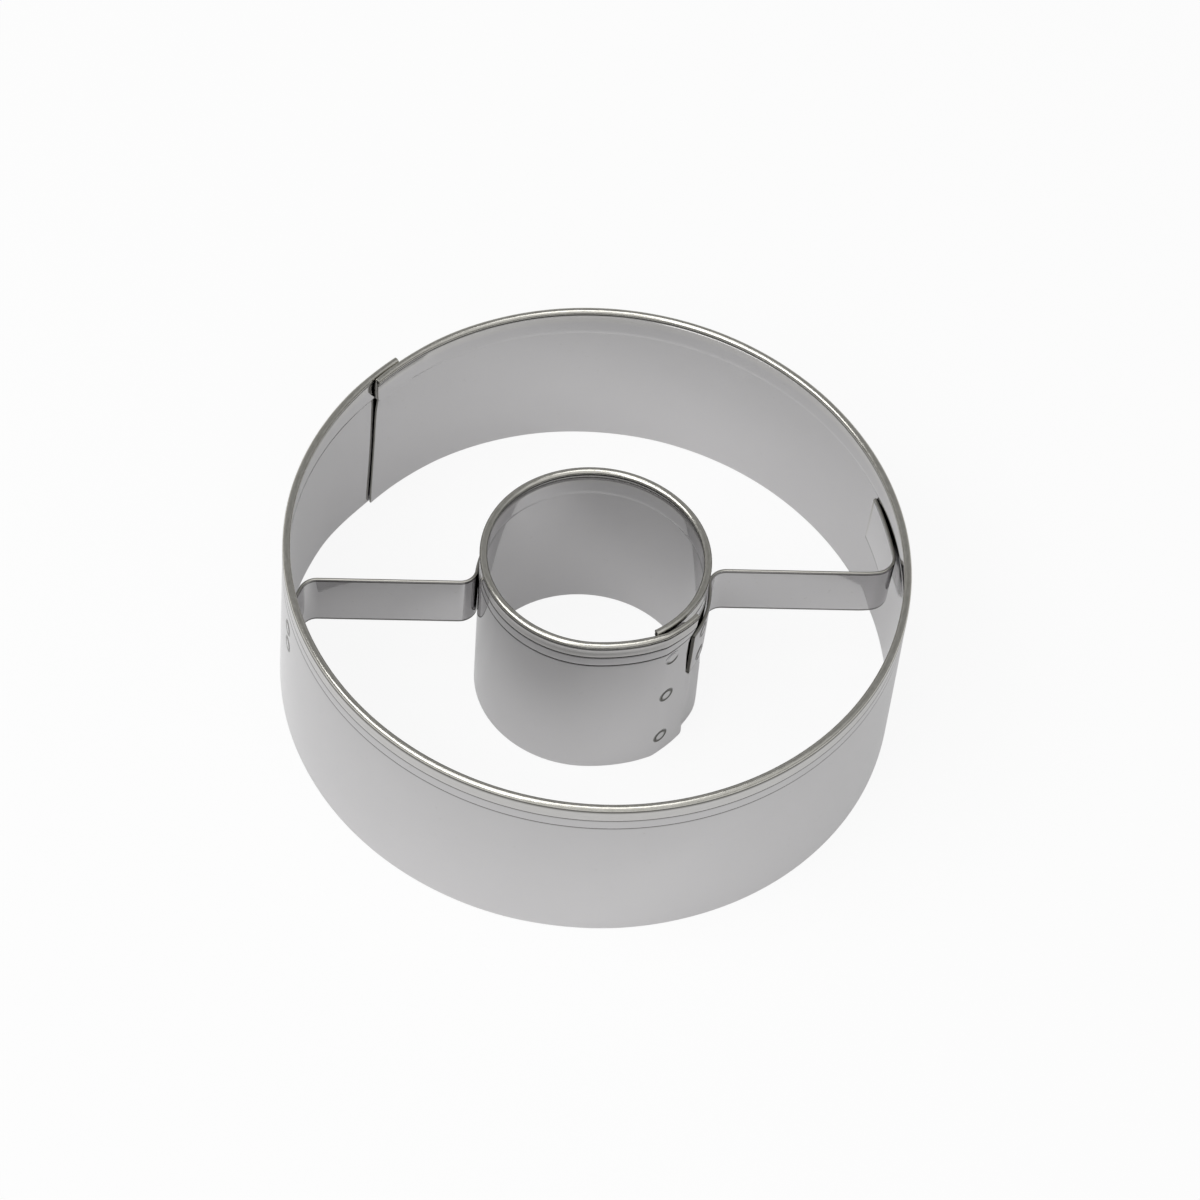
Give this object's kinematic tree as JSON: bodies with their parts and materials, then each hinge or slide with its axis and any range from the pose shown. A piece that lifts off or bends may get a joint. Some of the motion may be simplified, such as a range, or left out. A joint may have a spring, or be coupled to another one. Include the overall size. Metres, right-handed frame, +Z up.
{
  "type": "round cookie cutter",
  "caption": "Ring-shaped cookie cutter: a tall round outer band and a small round inner band of rolled-edge sheet steel, joined by flat straps",
  "frame": {"origin": "centre of the outer band's bottom cutting edge, on the surface the cutter stands on", "axes": "+Z up from the cutting edges to the rolled rims; X along the two straps; +Y to the back of the picture's view"},
  "size_m": [0.0757, 0.076, 0.0252],
  "materials": {
    "band_steel": "smooth cold-rolled sheet steel with a soft sheen",
    "strap_steel": "smooth cold-rolled sheet steel with a soft sheen",
    "weld_steel": "dull pressed spot-weld mark"
  },
  "bodies": {
    "root": {"outer_band": "band_steel", "inner_band": "band_steel", "left_strap": "strap_steel", "right_strap": "strap_steel", "outer_seam_welds": "weld_steel", "inner_seam_welds": "weld_steel", "left_strap_outer_welds": "weld_steel", "left_strap_inner_welds": "weld_steel", "right_strap_outer_welds": "weld_steel", "right_strap_inner_welds": "weld_steel"}
  },
  "joints": []
}
